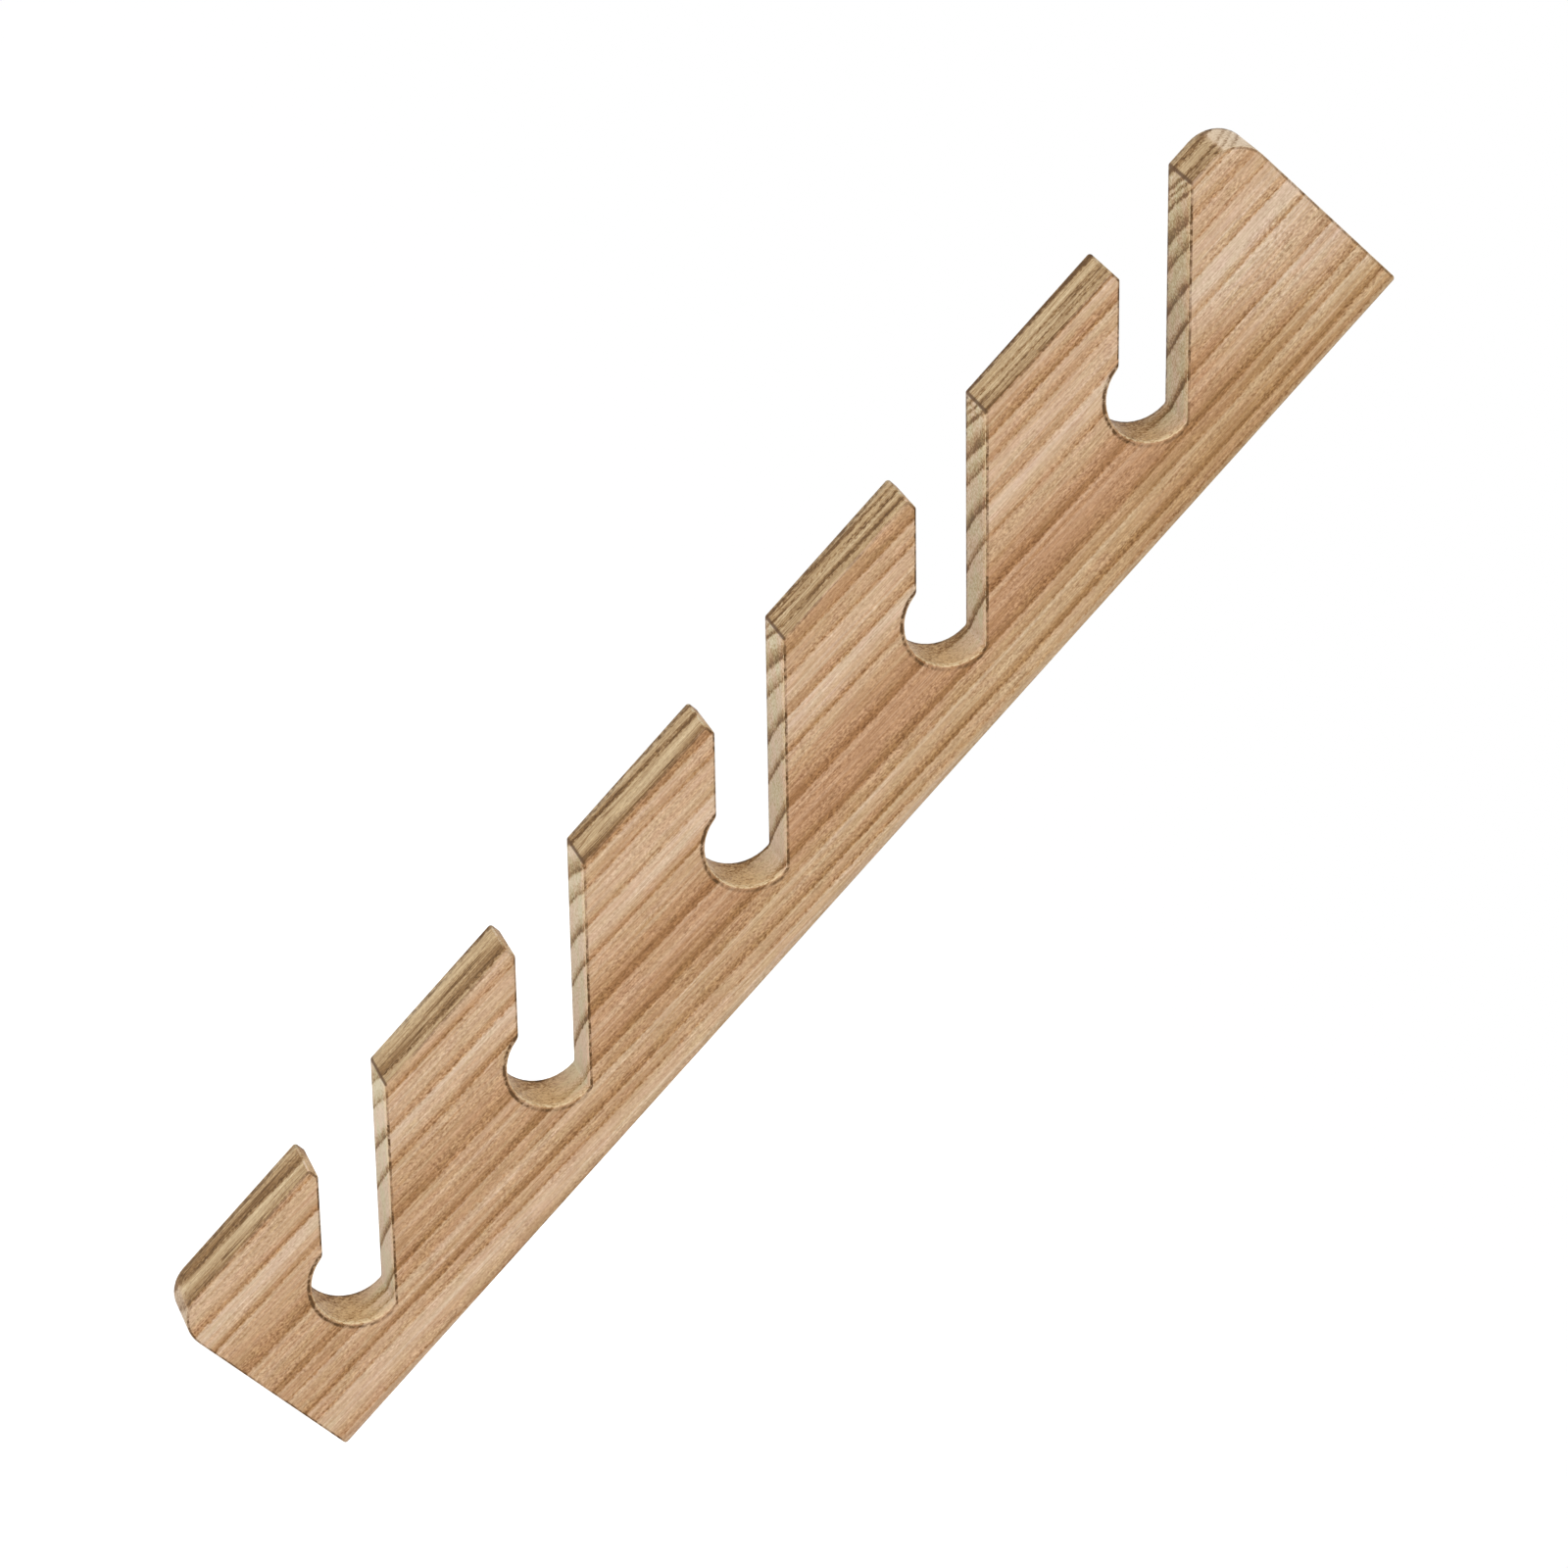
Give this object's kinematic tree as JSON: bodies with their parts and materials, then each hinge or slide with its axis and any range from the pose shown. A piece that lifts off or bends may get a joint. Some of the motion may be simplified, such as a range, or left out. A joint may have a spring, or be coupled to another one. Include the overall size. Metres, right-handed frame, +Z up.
{
  "type": "slotted wall rack board for sticks",
  "caption": "Upright hardwood wall rack board with angled open slots ending in round pockets, which cradles flutes, drumsticks or other sticks, hung on hidden keyhole plates.",
  "frame": {"origin": "middle of the long straight edge that lies on the wall, halfway up and halfway through the board's thickness", "axes": "+Z up the wall along the board, +Y into the wall, +X out of the board's front face; the fingers point along -Y and the slots open up and outward"},
  "size_m": [0.018, 0.069, 0.45],
  "materials": {
    "ash_wood": "sanded, clear matt oil, straight brown and straw grain",
    "zinc_plate": "zinc plated pressed steel, satin",
    "screw_steel": "zinc plated steel, semi bright"
  },
  "bodies": {
    "root": {"rack_board": "ash_wood", "lower_keyhole_plate": "zinc_plate", "upper_keyhole_plate": "zinc_plate", "plate_screws": "screw_steel"}
  },
  "joints": []
}
